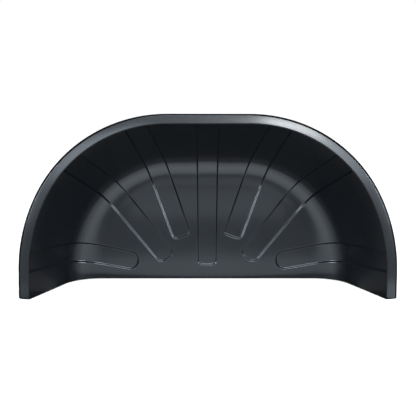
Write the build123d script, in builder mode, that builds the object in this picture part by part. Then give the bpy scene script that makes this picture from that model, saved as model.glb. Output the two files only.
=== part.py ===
# Wheel arch liner: one vacuum-formed sheet that lines the space above and behind a tyre.
# Seen from the tyre, +X is to the right, +Y runs from the rim to the back wall and +Z is up.
# The origin is on the level bottom edge, in the middle of the liner's width and depth.
import os
from math import atan, cos, radians, sin, tan

from build123d import *

os.makedirs("parts", exist_ok=True)

# Sheet
sheet = 3.0                     # thickness of the formed sheet
trim_allowance = 20.0           # sheet formed below the bottom edge and then trimmed off level

# Opening, measured on the tyre side at the fold where the arch wall meets the rim
opening_half_width = 471.0
opening_height = 460.0
opening_half_top = 108.0        # half length of the level top
opening_skirt = 69.0            # height of the upright sides below the flank arcs

# Back wall, measured on the tyre side to the sharp corner that the large bend rounds off
back_half_width = 366.0
back_height = 325.0
back_half_top = 75.0
back_skirt = 7.0
depth = 240.0                   # from the fold to the back wall
back_bend = 105.0               # radius of the bend from the back wall into the arch wall
flank_sweep = 28.0              # degrees of flank arc before the shoulder arc takes over

# Rim: a flange that leans back a little and ends in a short return lip
rim_width = 29.0
rim_set_back = 8.0
lip_depth = 8.0
rim_edge_bevel = 2.5
fold_bevel = 3.0

# Flutes: shallow grooves on the tyre side that stand out as ribs on the reverse
flute_depth = 4.0
flute_foot_width = 50.0
flute_spread = 0.6              # degrees that each side of a groove leans out towards the rim
flute_start = 14.0              # distance behind the fold at which the grooves begin
flute_mouth_bevel = 2.5
fan_centre = -82.0              # height of the point that the upper five grooves aim at
side_aim = 11.0                 # height of the point that the two side grooves aim at

# Each groove: lean from upright in degrees, height it aims at, distance to its foot, foot corner radius
centre_flute = (0.0, fan_centre, 123.0, 10.0)
right_flutes = [
    (19.2, fan_centre, 215.0, 12.0),
    (38.4, fan_centre, 180.0, 18.0),
    (79.0, side_aim, 199.0, 24.0),
]
left_flutes = [(-lean, aim, foot, corner) for lean, aim, foot, corner in right_flutes]
flutes = [centre_flute] + right_flutes + left_flutes
flute_reach = opening_half_width + opening_height    # past the rim in every direction

# Bevel along the grooves' mouths, which leaves some of the groove's wall standing
mouth_room = 0.42 * flute_depth
mouth_bevel = min(flute_mouth_bevel, mouth_room)

# How far the arch wall closes in for each millimetre of depth
side_flare = (opening_half_width - back_half_width) / depth
top_flare = (opening_height - back_height) / depth

# In-plane growth of an outline that moves the flared wall out by one millimetre
side_growth = 1 / cos(atan(side_flare))
top_growth = 1 / cos(atan(top_flare))

middle = (depth + flute_depth + sheet) / 2


def upright(y):
    """Upright sketch plane, facing the tyre, at distance y behind the fold."""
    return Plane.XZ.offset(middle - y)


def arch_outline(half_width, height, half_top, skirt):
    """Arch outline: skirts, flank arcs, shoulder arcs, a level top and a level bottom."""
    reach = radians(flank_sweep)
    across = half_width - half_top
    rise = height - skirt
    balance = sin(reach) + cos(reach) - 1
    flank = (rise * cos(reach) - across * (1 - sin(reach))) / balance
    shoulder = (across * sin(reach) - rise * (1 - cos(reach))) / balance
    flank_x = half_width - flank
    shoulder_z = height - shoulder
    with BuildSketch() as outline:
        with BuildLine():
            Line((half_width, -trim_allowance), (half_width, skirt))
            CenterArc((flank_x, skirt), flank, 0, flank_sweep)
            CenterArc((half_top, shoulder_z), shoulder, flank_sweep, 90 - flank_sweep)
            Line((half_top, height), (-half_top, height))
            CenterArc((-half_top, shoulder_z), shoulder, 90, 90 - flank_sweep)
            CenterArc((-flank_x, skirt), flank, 180 - flank_sweep, flank_sweep)
            Line((-half_width, skirt), (-half_width, -trim_allowance))
            Line((-half_width, -trim_allowance), (half_width, -trim_allowance))
        make_face()
    return outline.sketch


def wall_outline(y, growth):
    """Outline of the flared arch wall at distance y behind the fold, moved out by growth."""
    return arch_outline(
        opening_half_width - side_flare * y + side_growth * growth,
        opening_height - top_flare * y + top_growth * growth,
        opening_half_top + (back_half_top - opening_half_top) * y / depth,
        opening_skirt + (back_skirt - opening_skirt) * y / depth,
    )


def rim_outline(spread):
    """Outline of the opening moved out by spread."""
    return arch_outline(opening_half_width + spread, opening_height + spread, opening_half_top, opening_skirt)


def arch_form(front, growth):
    """Solid that fills the arch from the front plane to the back wall, moved out by growth."""
    with BuildPart() as form:
        for y in (front, depth + growth):
            with BuildSketch(upright(y)):
                add(wall_outline(y, growth))
        loft(ruled=True)
        back_edges = form.faces().sort_by(Axis.Y)[-1].edges().sort_by(Axis.Z)
        fillet(back_edges[1:], back_bend + growth)
    return form.part


def rim_form(behind):
    """Solid under the flange and inside its lip, moved behind the sheet's front skin."""
    with BuildPart() as form:
        for y, spread in ((behind, -behind), (behind + rim_set_back, rim_width - behind)):
            with BuildSketch(upright(y)):
                add(rim_outline(spread))
        loft(ruled=True)
        extrude(form.faces().sort_by(Axis.Y)[-1], amount=lip_depth)
    return form.part


def flute_prisms(start, widen):
    """The grooves' outlines, widened all round and carried straight back from the start."""
    with BuildPart() as prisms:
        for lean, aim, foot, corner in flutes:
            across = (cos(radians(lean)), 0, -sin(radians(lean)))
            half_foot = flute_foot_width / 2 + widen
            half_end = half_foot + (flute_reach - foot) * tan(radians(flute_spread))
            with BuildSketch(Plane((0, start - middle, aim), x_dir=across, z_dir=(0, -1, 0))):
                with BuildLine():
                    sides = FilletPolyline(
                        (-half_end, flute_reach),
                        (-half_foot, foot - widen),
                        (half_foot, foot - widen),
                        (half_end, flute_reach),
                        radius=corner + widen,
                    )
                    Line(sides @ 1, sides @ 0)
                make_face()
            extrude(amount=-(depth + flute_depth + sheet))
    return prisms.part


def flute_blocks(start, widen, growth):
    """The grooves as solid blocks that end on the arch form moved out by growth."""
    with BuildPart() as blocks:
        add(flute_prisms(start, widen))
        add(arch_form(0, growth), mode=Mode.INTERSECT)
    return blocks.part


# Space that the tyre turns in, with the grooves standing out from it
plain_space = arch_form(-rim_set_back, 0)
grooves = flute_blocks(flute_start, 0, flute_depth)
with BuildPart() as tyre_space:
    add(plain_space)
    add(grooves)
    mouths = new_edges(plain_space, grooves, combined=tyre_space.part)
    hidden_ends = mouths.filter_by_position(Axis.Y, -middle, flute_start - middle + fold_bevel)
    chamfer(mouths - hidden_ends, mouth_bevel)

# Liner: rim, outer skin and ribs, hollowed out on the tyre side and trimmed level
with BuildPart() as liner:
    add(rim_form(0))
    lip_corner = liner.edges().filter_by_position(Axis.Y, rim_set_back - middle, rim_set_back - middle)
    chamfer(lip_corner.filter_by_position(Axis.Z, 0, opening_height + rim_width), rim_edge_bevel)
    add(rim_form(sheet), mode=Mode.SUBTRACT)
    add(arch_form(sheet / 2, sheet))
    add(flute_blocks(flute_start - sheet, sheet, flute_depth + sheet))
    add(tyre_space.part, mode=Mode.SUBTRACT)
    fold = liner.edges().filter_by_position(Axis.Y, -middle, -middle)
    chamfer(fold.filter_by_position(Axis.Z, 0, opening_height), fold_bevel)
    split(bisect_by=Plane.XY, keep=Keep.TOP)

liner.part.label = "wheel_arch_liner"
export_step(liner.part, "parts/wheel_arch_liner.step")
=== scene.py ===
from math import acos, cos, hypot, pi, radians, sin, tan

import bmesh
import bpy
from mathutils import Matrix, Quaternion, Vector


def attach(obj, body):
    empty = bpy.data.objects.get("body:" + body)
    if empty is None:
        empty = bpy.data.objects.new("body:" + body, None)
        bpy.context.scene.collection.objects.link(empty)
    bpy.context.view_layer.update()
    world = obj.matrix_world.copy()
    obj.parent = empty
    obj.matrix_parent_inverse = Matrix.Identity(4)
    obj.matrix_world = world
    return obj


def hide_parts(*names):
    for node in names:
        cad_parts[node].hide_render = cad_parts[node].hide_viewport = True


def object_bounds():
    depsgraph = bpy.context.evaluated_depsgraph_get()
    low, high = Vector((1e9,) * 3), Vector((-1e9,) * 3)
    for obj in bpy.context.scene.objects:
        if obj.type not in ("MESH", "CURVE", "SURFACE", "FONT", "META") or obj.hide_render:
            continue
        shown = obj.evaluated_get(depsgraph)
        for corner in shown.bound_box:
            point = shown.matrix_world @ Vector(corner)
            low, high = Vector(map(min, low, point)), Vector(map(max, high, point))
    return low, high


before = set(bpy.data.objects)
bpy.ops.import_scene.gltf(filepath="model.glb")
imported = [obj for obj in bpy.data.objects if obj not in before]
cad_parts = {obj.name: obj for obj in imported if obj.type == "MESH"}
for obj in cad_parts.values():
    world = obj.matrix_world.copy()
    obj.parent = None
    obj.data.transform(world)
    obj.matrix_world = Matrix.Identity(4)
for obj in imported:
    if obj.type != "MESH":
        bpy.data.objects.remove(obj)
cad_low, cad_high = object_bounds()
scene = bpy.context.scene

# Skin of the liner: one sheet of black plastic, heated and drawn into an arch-shaped mould.
# Lip, flange, fold, flared arch wall, large bend and back wall follow each other in one section,
# which is carried round the arch from the right foot over the level top to the left foot.
sheet = 0.003
opening_half_width = 0.471
opening_height = 0.465
opening_half_top = 0.108
opening_skirt = 0.069
back_half_width = 0.366
back_height = 0.325
back_half_top = 0.075
back_skirt = 0.007
flank_sweep = radians(28.0)
back_bend = 0.105
flange_lean = radians(15.4)
flange_crown = 0.0002
lip_back = 0.016
lip_lean_top = 0.0034
lip_lean_side = 0.0056
rim_edge_radius = 0.0010
fold_radius = 0.0025
fold_rise = 0.0004
flute_depth = 0.004
fold_y = cad_low.y - fold_rise
depth = cad_high.y - sheet - flute_depth - fold_y
lip_steps = 4
flange_steps = 8
fold_steps = 6
wall_steps = 12
bend_steps = 24
back_steps = 10
lip_row = 1
fold_row = lip_row + lip_steps + flange_steps
wall_row = fold_row + fold_steps

skirt_steps = 6
flank_steps = 14
shoulder_steps = 32
top_steps = 8
stations = (
    [("skirt", i / skirt_steps) for i in range(skirt_steps)]
    + [("flank", i / flank_steps) for i in range(flank_steps)]
    + [("shoulder", i / shoulder_steps) for i in range(shoulder_steps)]
    + [("top", i / top_steps) for i in range(top_steps + 1)]
)


def arch_point(place, share, half_width, height, half_top, skirt):
    """Point on the right half of an arch outline, and the angle of the outline's normal there."""
    across = half_width - half_top
    rise = height - skirt
    balance = sin(flank_sweep) + cos(flank_sweep) - 1
    flank = (rise * cos(flank_sweep) - across * (1 - sin(flank_sweep))) / balance
    shoulder = (across * sin(flank_sweep) - rise * (1 - cos(flank_sweep))) / balance
    if place == "skirt":
        return Vector((half_width, skirt * share)), 0.0
    if place == "flank":
        turn = flank_sweep * share
        return Vector((half_width - flank + flank * cos(turn), skirt + flank * sin(turn))), turn
    if place == "shoulder":
        turn = flank_sweep + (pi / 2 - flank_sweep) * share
        return Vector((half_top + shoulder * cos(turn), height - shoulder + shoulder * sin(turn))), turn
    return Vector((half_top * (1 - share), height)), pi / 2


def rounded(corner, along_in, along_out, radius, steps):
    """Points of the arc that rounds a corner, from the ray it arrives on to the ray it leaves on."""
    angle = acos(along_in.dot(along_out))
    reach = radius / tan(angle / 2)
    middle = corner + (along_in + along_out).normalized() * radius / sin(angle / 2)
    start = corner + along_in * reach - middle
    end = corner + along_out * reach - middle
    sweep = start.angle_signed(end)
    return [middle + Matrix.Rotation(-sweep * i / steps, 2) @ start for i in range(steps + 1)]


def straight(start, end, steps):
    """Points between two ends, without the ends."""
    return [start.lerp(end, i / steps) for i in range(1, steps)]


def skin_column(place, share):
    """The section at one place on the arch, from the lip's free edge to the middle of the bottom edge."""
    front, turn = arch_point(
        place, share, opening_half_width, opening_height, opening_half_top, opening_skirt,
    )
    outer, _ = arch_point(place, share, cad_high.x, cad_high.z, opening_half_top, opening_skirt)
    rear, _ = arch_point(place, share, back_half_width, back_height, back_half_top, back_skirt)
    outward = Vector((cos(turn), sin(turn)))
    along = Vector((-sin(turn), cos(turn)))
    rim_width = (outer - front).dot(outward)
    rim_drift = (outer - front).dot(along) / rim_width
    closing = -(rear - front).dot(outward) / depth
    wall_drift = (rear - front).dot(along) / depth
    lip_lean = lip_lean_top + (lip_lean_side - lip_lean_top) * cos(turn)
    flange_width = rim_width - lip_lean
    rim_corner = Vector((flange_width, flange_width * tan(flange_lean)))
    lip_edge = Vector((rim_width, lip_back))
    back_corner = Vector((-closing * depth, depth))
    flange = rim_corner.normalized()
    wall = back_corner.normalized()
    lip = rounded(rim_corner, (lip_edge - rim_corner).normalized(), -flange, rim_edge_radius, lip_steps)
    fold = rounded(Vector((0.0, 0.0)), flange, wall, fold_radius, fold_steps)
    bend = rounded(back_corner, -wall, Vector((-1.0, 0.0)), back_bend, bend_steps)
    crown = straight(lip[-1], fold[0], flange_steps)
    for i, point in enumerate(crown, start=1):
        point.y -= flange_crown * sin(pi * i / flange_steps)
    section = [lip_edge] + lip + crown + fold + straight(fold[-1], bend[0], wall_steps) + bend
    column = []
    for out, y in section:
        slide = rim_drift * out if out > 0 else wall_drift * min(y, bend[0].y)
        spot = front + outward * out + along * slide
        column.append(Vector((spot.x, fold_y + y, spot.y)))
    foot = Vector((0.0, fold_y + depth, 0.0))
    return column + straight(column[-1], foot, back_steps) + [foot]


columns = [skin_column(*station) for station in stations]
columns += [[Vector((-p.x, p.y, p.z)) for p in column] for column in columns[-2::-1]]
across_count = len(columns) - 1
down_count = len(columns[0]) - 1

grid_half = 0.5
merge_distance = 1e-6
liner_shape = bmesh.new()
bmesh.ops.create_grid(liner_shape, x_segments=across_count, y_segments=down_count, size=grid_half)
row = liner_shape.verts.layers.float.new("row")
for vert in liner_shape.verts:
    across_index = round((vert.co.x + grid_half) / (2 * grid_half) * across_count)
    down_index = round((vert.co.y + grid_half) / (2 * grid_half) * down_count)
    vert.co = columns[across_index][down_index]
    vert[row] = down_index
bmesh.ops.remove_doubles(liner_shape, verts=liner_shape.verts[:], dist=merge_distance)

# Flutes: seven shallow grooves that stiffen the sheet and stand out as ribs on its reverse.
# Five fan out from a point below the bottom edge and two lie low on the sides. Each is flat-floored,
# round at its foot on the back wall, and runs up over the bend to just behind the fold.
flute_half_foot = 0.025
flute_spread = radians(0.6)
flute_start = 0.005
flute_edge = 0.0030
fan_centre = -0.082
side_aim = 0.011
centre_flute = (0.0, fan_centre, 0.123, 0.010)
right_flutes = [
    (radians(19.2), fan_centre, 0.215, 0.012),
    (radians(38.4), fan_centre, 0.180, 0.018),
    (radians(79.0), side_aim, 0.199, 0.024),
]
left_flutes = [(-lean, aim, foot, corner) for lean, aim, foot, corner in right_flutes]
flutes = [centre_flute] + right_flutes + left_flutes
corner_cuts = 5
cut_tolerance = 1e-5
ring_count = 13
widest_ring = sheet + flute_edge
ring_step = (widest_ring + flute_edge) / (ring_count - 1)


def flute_distance(point, flute):
    """Distance of a point outside a flute's outline; negative inside it."""
    lean, aim, foot, corner = flute
    along = point.x * sin(lean) + (point.z - aim) * cos(lean)
    across = abs(point.x * cos(lean) - (point.z - aim) * sin(lean))
    past_side = (across - flute_half_foot - (along - foot) * tan(flute_spread)) * cos(flute_spread) + corner
    past_foot = foot - along + corner
    outline = hypot(max(past_side, 0.0), max(past_foot, 0.0)) + min(max(past_side, past_foot), 0.0) - corner
    return max(outline, fold_y + flute_start - point.y)


def flute_planes(flute, offset):
    """Planes that bound a flute, moved out by an offset: foot, upper end, sides and round corners."""
    lean, aim, foot, corner = flute
    up = Vector((sin(lean), 0.0, cos(lean)))
    right = Vector((cos(lean), 0.0, -sin(lean)))
    foot_place = Vector((0.0, 0.0, aim)) + up * foot
    planes = [(foot_place, -up), (Vector((0.0, fold_y + flute_start, 0.0)), Vector((0.0, -1.0, 0.0)))]
    for side in (right, -right):
        side_normal = side * cos(flute_spread) - up * sin(flute_spread)
        planes.append((foot_place + side * flute_half_foot, side_normal))
        centre = foot_place + up * corner + side * (flute_half_foot - corner)
        for i in range(1, corner_cuts + 1):
            turn = pi / 2 * i / (corner_cuts + 1)
            normal = side * sin(turn) - up * cos(turn)
            planes.append((centre + normal * corner, normal))
    return [(place + normal * offset, normal) for place, normal in planes]


for flute in flutes:
    inside = [
        face for face in liner_shape.faces
        if min(vert[row] for vert in face.verts) >= wall_row
        and min(flute_distance(vert.co, flute) for vert in face.verts) < widest_ring
    ]
    for ring in range(ring_count):
        for place, normal in flute_planes(flute, widest_ring - ring * ring_step):
            edges = {edge for face in inside for edge in face.edges}
            verts = {vert for face in inside for vert in face.verts}
            cut = bmesh.ops.bisect_plane(
                liner_shape, geom=inside + list(edges) + list(verts), dist=cut_tolerance,
                plane_co=place, plane_no=normal,
            )
            inside = [
                piece for piece in cut["geom"]
                if isinstance(piece, bmesh.types.BMFace)
                and (piece.calc_center_median() - place).dot(normal) < 0
            ]

tyre_side = set(liner_shape.verts)
bmesh.ops.solidify(liner_shape, geom=liner_shape.faces[:], thickness=sheet)


def in_tight_corner(edge):
    """Whether an edge crosses the reverse of the lip's corner or of the fold, too tight there for an arc."""
    low, high = sorted(vert[row] for vert in edge.verts)
    lip_corner = lip_row <= low and high <= lip_row + lip_steps
    fold = fold_row <= low and high < wall_row
    return high - low > 0.5 and (lip_corner or fold) and tyre_side.isdisjoint(edge.verts)


bmesh.ops.collapse(liner_shape, edges=[edge for edge in liner_shape.edges if in_tight_corner(edge)])
liner_shape.normal_update()
for vert in [vert for vert in liner_shape.verts if vert[row] >= wall_row]:
    widen, push = (0.0, -flute_depth) if vert in tyre_side else (sheet, flute_depth)
    near = min(flute_distance(vert.co, flute) for flute in flutes) - widen
    step = max(-1.0, min(1.0, near / flute_edge))
    vert.co += vert.normal * push * (0.5 - 0.5 * sin(pi / 2 * step))

# Matte edges: the return lip, which the mould leaves dull, and the sawn edges of the lip and the bottom.
# They take no gloss, and their black is made darker as painted shade, so a thin dark line follows the rim.
# The saw's arrises are just broken.
arris = 0.0004
sharp_from = radians(50.0)
matte_and_painted_shade = liner_shape.faces.layers.float.new("matte_and_painted_shade")
arrises = []
for face in liner_shape.faces:
    sides = [vert in tyre_side for vert in face.verts]
    sawn = any(sides) and not all(sides)
    if sawn:
        arrises += [e for e in face.edges if (e.verts[0] in tyre_side) == (e.verts[1] in tyre_side)]
    if sawn or max(vert[row] for vert in face.verts) <= lip_row:
        face[matte_and_painted_shade] = 1.0
bmesh.ops.bevel(
    liner_shape, geom=arrises, offset=arris, offset_type="OFFSET", segments=2, profile=0.5,
    affect="EDGES", material=-1,
)
liner_mesh = bpy.data.meshes.new("formed_liner")
liner_shape.to_mesh(liner_mesh)
liner_shape.free()
liner_mesh.shade_smooth()
liner_mesh.set_sharp_from_angle(angle=sharp_from)
liner = bpy.data.objects.new("formed_liner", liner_mesh)
scene.collection.objects.link(liner)
even_shading = liner.modifiers.new("even_shading", "WEIGHTED_NORMAL")
even_shading.keep_sharp = True
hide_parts("wheel_arch_liner")
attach(liner, "root")

# Satin black plastic: a sheet of thermoplastic coloured right through, with a fine grain from the sheet's
# roller and slight waves from cooling on the mould. Faces square to the mould's draw are glossy. The bend
# and the walls along the draw are dull, probably because the sheet was stretched most there.
plastic = bpy.data.materials.new("formed_black_plastic")
plastic.use_nodes = True
nodes = plastic.node_tree.nodes
links = plastic.node_tree.links
shader = nodes["Principled BSDF"]
shader.inputs["Specular Tint"].default_value = (0.80, 0.90, 1.0, 1.0)
coordinates = nodes.new("ShaderNodeTexCoord")

direction = nodes.new("ShaderNodeSeparateXYZ")
links.new(coordinates.outputs["Normal"], direction.inputs["Vector"])
square_to_draw = nodes.new("ShaderNodeMath")
square_to_draw.operation = "ABSOLUTE"
links.new(direction.outputs["Y"], square_to_draw.inputs[0])
gloss = nodes.new("ShaderNodeValToRGB")
links.new(square_to_draw.outputs["Value"], gloss.inputs["Fac"])
wall_stop, face_stop = gloss.color_ramp.elements
wall_stop.position = 0.34
wall_stop.color = (0.0, 0.0, 0.0, 1.0)
face_stop.position = 0.86
face_stop.color = (0.5, 0.5, 0.5, 1.0)
# Round the bend, from the walls to the square faces: how square to the draw, and the gloss there.
bend_levels = ((0.40, 0.02), (0.51, 0.02), (0.58, 0.085), (0.64, 0.12), (0.72, 0.17), (0.79, 0.31))
for position, level in bend_levels:
    bend_stop = gloss.color_ramp.elements.new(position)
    bend_stop.color = (level, level, level, 1.0)

clouds = nodes.new("ShaderNodeTexNoise")
clouds.inputs["Scale"].default_value = 9.0
clouds.inputs["Detail"].default_value = 4.0
links.new(coordinates.outputs["Object"], clouds.inputs["Vector"])
black = nodes.new("ShaderNodeMix")
black.data_type = "RGBA"
black.inputs["A"].default_value = (0.0046, 0.0060, 0.0079, 1.0)
black.inputs["B"].default_value = (0.0060, 0.0076, 0.0097, 1.0)
links.new(clouds.outputs["Fac"], black.inputs["Factor"])
edge_mark = nodes.new("ShaderNodeAttribute")
edge_mark.attribute_name = "matte_and_painted_shade"
# Painted shade: the lip and the sawn edges get a darker black, so a dark line runs along the rim.
painted_shade_black = nodes.new("ShaderNodeMix")
painted_shade_black.data_type = "RGBA"
painted_shade_black.inputs["B"].default_value = (0.0030, 0.0038, 0.0050, 1.0)
links.new(edge_mark.outputs["Fac"], painted_shade_black.inputs["Factor"])
links.new(black.outputs["Result"], painted_shade_black.inputs["A"])
links.new(painted_shade_black.outputs["Result"], shader.inputs["Base Color"])
edge_gloss = nodes.new("ShaderNodeMix")
edge_gloss.data_type = "FLOAT"
edge_gloss.inputs["B"].default_value = 0.0
links.new(edge_mark.outputs["Fac"], edge_gloss.inputs["Factor"])
links.new(gloss.outputs["Color"], edge_gloss.inputs["A"])
links.new(edge_gloss.outputs["Result"], shader.inputs["Specular IOR Level"])

roughness = nodes.new("ShaderNodeMapRange")
roughness.inputs["From Min"].default_value = 0.3
roughness.inputs["From Max"].default_value = 0.7
roughness.inputs["To Min"].default_value = 0.20
roughness.inputs["To Max"].default_value = 0.25
links.new(clouds.outputs["Fac"], roughness.inputs["Value"])
dull = nodes.new("ShaderNodeMix")
dull.data_type = "FLOAT"
dull.inputs["B"].default_value = 0.6
links.new(edge_mark.outputs["Fac"], dull.inputs["Factor"])
links.new(roughness.outputs["Result"], dull.inputs["A"])
links.new(dull.outputs["Result"], shader.inputs["Roughness"])

waves = nodes.new("ShaderNodeTexNoise")
waves.inputs["Scale"].default_value = 7.0
waves.inputs["Detail"].default_value = 1.0
links.new(coordinates.outputs["Object"], waves.inputs["Vector"])
wave_bump = nodes.new("ShaderNodeBump")
wave_bump.inputs["Strength"].default_value = 0.5
wave_bump.inputs["Distance"].default_value = 0.0008
links.new(waves.outputs["Fac"], wave_bump.inputs["Height"])
grain = nodes.new("ShaderNodeTexNoise")
grain.inputs["Scale"].default_value = 900.0
grain.inputs["Detail"].default_value = 2.0
links.new(coordinates.outputs["Object"], grain.inputs["Vector"])
grain_bump = nodes.new("ShaderNodeBump")
grain_bump.inputs["Strength"].default_value = 0.15
grain_bump.inputs["Distance"].default_value = 0.0001
links.new(grain.outputs["Fac"], grain_bump.inputs["Height"])
links.new(wave_bump.outputs["Normal"], grain_bump.inputs["Normal"])
links.new(grain_bump.outputs["Normal"], shader.inputs["Normal"])
liner_mesh.materials.append(plastic)

# The floor is a wide board of pale card under the liner, and it keeps the liner's soft shadow.
# The camera sees it white. To all other rays it is darker, so it throws little light up at the liner.
floor_half_size = 12.0
floor_seen = 1.0
floor_reflected = 0.28
floor_mesh = bpy.data.meshes.new("studio_floor")
floor_shape = bmesh.new()
bmesh.ops.create_grid(floor_shape, x_segments=1, y_segments=1, size=floor_half_size)
floor_shape.to_mesh(floor_mesh)
floor_shape.free()
floor = bpy.data.objects.new("studio_floor", floor_mesh)
scene.collection.objects.link(floor)
board = bpy.data.materials.new("pale_board")
board.use_nodes = True
board_shader = board.node_tree.nodes["Principled BSDF"]
floor_path = board.node_tree.nodes.new("ShaderNodeLightPath")
floor_shade = board.node_tree.nodes.new("ShaderNodeMapRange")
floor_shade.inputs["To Min"].default_value = floor_reflected
floor_shade.inputs["To Max"].default_value = floor_seen
board.node_tree.links.new(floor_path.outputs["Is Camera Ray"], floor_shade.inputs["Value"])
board.node_tree.links.new(floor_shade.outputs["Result"], board_shader.inputs["Base Color"])
board_shader.inputs["Roughness"].default_value = 0.9
board_shader.inputs["Specular IOR Level"].default_value = 0.0
floor_mesh.materials.append(board)

# The room is plain white all round, for the camera, for reflections and as soft fill light.
world = bpy.data.worlds.new("white_room")
scene.world = world
world.use_nodes = True
room = world.node_tree.nodes["Background"]
room.inputs["Color"].default_value = (1.0, 1.0, 1.0, 1.0)
room.inputs["Strength"].default_value = 1.0

# Softboxes: a large one high in front and one either side of the camera light the liner and the floor.
# Each is placed by its bearing and height seen from the liner, in degrees, and by its distance in metres.
# Its brightness is that of its cloth.
lit_place = Vector((0.0, 0.0, 0.25))


def hang_softbox(name, bearing, height, distance, wide, tall, brightness):
    """Area lamp that faces the liner from a bearing and a height given in degrees."""
    lamp_data = bpy.data.lights.new(name, "AREA")
    lamp_data.shape = "RECTANGLE"
    lamp_data.size = wide
    lamp_data.size_y = tall
    lamp_data.energy = brightness * pi * wide * tall
    lamp = bpy.data.objects.new(name, lamp_data)
    scene.collection.objects.link(lamp)
    towards = Vector((
        sin(radians(bearing)) * cos(radians(height)),
        -cos(radians(bearing)) * cos(radians(height)),
        sin(radians(height)),
    ))
    lamp.location = lit_place + towards * distance
    lamp.rotation_mode = "QUATERNION"
    lamp.rotation_quaternion = towards.to_track_quat("Z", "Y")
    lamp.visible_camera = False
    return lamp


hang_softbox("top_softbox", bearing=0.0, height=52.0, distance=2.6, wide=1.3, tall=0.7, brightness=24.0)
hang_softbox("left_softbox", bearing=-22.5, height=15.4, distance=4.0, wide=2.05, tall=1.0, brightness=4.8)
hang_softbox("right_softbox", bearing=26.5, height=15.4, distance=4.0, wide=1.6, tall=1.0, brightness=5.9)

# Strip lamps: two out at the sides, one to the right of the camera and a dim one low in the mouth of the
# arch. They are there only for the highlights on the flutes, on the rim and on the upper back wall, and
# they add nothing to the light on the floor.
left_strip = hang_softbox(
    "left_strip", bearing=-64.0, height=13.0, distance=3.0, wide=1.0, tall=1.3, brightness=51.0,
)
right_strip = hang_softbox(
    "right_strip", bearing=64.0, height=13.0, distance=3.0, wide=1.0, tall=1.3, brightness=52.0,
)
rim_strip = hang_softbox(
    "rim_strip", bearing=17.7, height=25.2, distance=4.0, wide=1.25, tall=0.7, brightness=30.0,
)
rim_strip.data.color = (1.0, 0.93, 0.86)
mouth_strip = hang_softbox(
    "mouth_strip", bearing=0.0, height=-32.0, distance=0.136, wide=0.46, tall=0.10, brightness=0.70,
)
for strip in (left_strip, right_strip, rim_strip, mouth_strip):
    strip.visible_diffuse = False

# Cards: a bright one lies on the floor in the mouth of the arch and throws light up into the bend.
# A small one lies before each foot, there only for its reflection in the rim.
card_spread = radians(170.0)
card_lift = 0.002


def lay_card(name, x, y, wide, deep, brightness):
    """Round area lamp that lies on the floor and shines up."""
    card_data = bpy.data.lights.new(name, "AREA")
    card_data.shape = "ELLIPSE"
    card_data.size = wide
    card_data.size_y = deep
    card_data.spread = card_spread
    card_data.energy = brightness * pi * wide * deep * pi / 4
    card = bpy.data.objects.new(name, card_data)
    scene.collection.objects.link(card)
    card.location = (x, y, card_lift)
    card.rotation_euler = (pi, 0.0, 0.0)
    card.visible_camera = False
    return card


lay_card("mouth_card", x=0.0, y=-0.03, wide=0.86, deep=0.26, brightness=1.70)
left_foot_card = lay_card("left_foot_card", x=-0.54, y=-0.18, wide=0.12, deep=0.12, brightness=0.7)
right_foot_card = lay_card("right_foot_card", x=0.55, y=-0.19, wide=0.18, deep=0.18, brightness=2.2)
for card in (left_foot_card, right_foot_card):
    card.visible_diffuse = False

# The camera stands a little left of the middle and looks slightly down at the tyre side.
view_target = Vector((0.0004, -0.0035, 0.224))
view_distance = 3.2
view_height = radians(10.0)
view_turn = radians(0.74)
view_roll = radians(0.15)
image_width_px = 416
focal_length_px = 1184.0
camera_data = bpy.data.cameras.new("camera")
camera = bpy.data.objects.new("camera", camera_data)
scene.collection.objects.link(camera)
scene.camera = camera
camera_data.lens = camera_data.sensor_width * focal_length_px / image_width_px
back = Vector((-sin(view_turn) * cos(view_height), -cos(view_turn) * cos(view_height), sin(view_height)))
camera.location = view_target + view_distance * back
camera.rotation_mode = "QUATERNION"
camera.rotation_quaternion = (-back).to_track_quat("-Z", "Y") @ Quaternion((0.0, 0.0, 1.0), view_roll)

scene.view_settings.view_transform = "Standard"
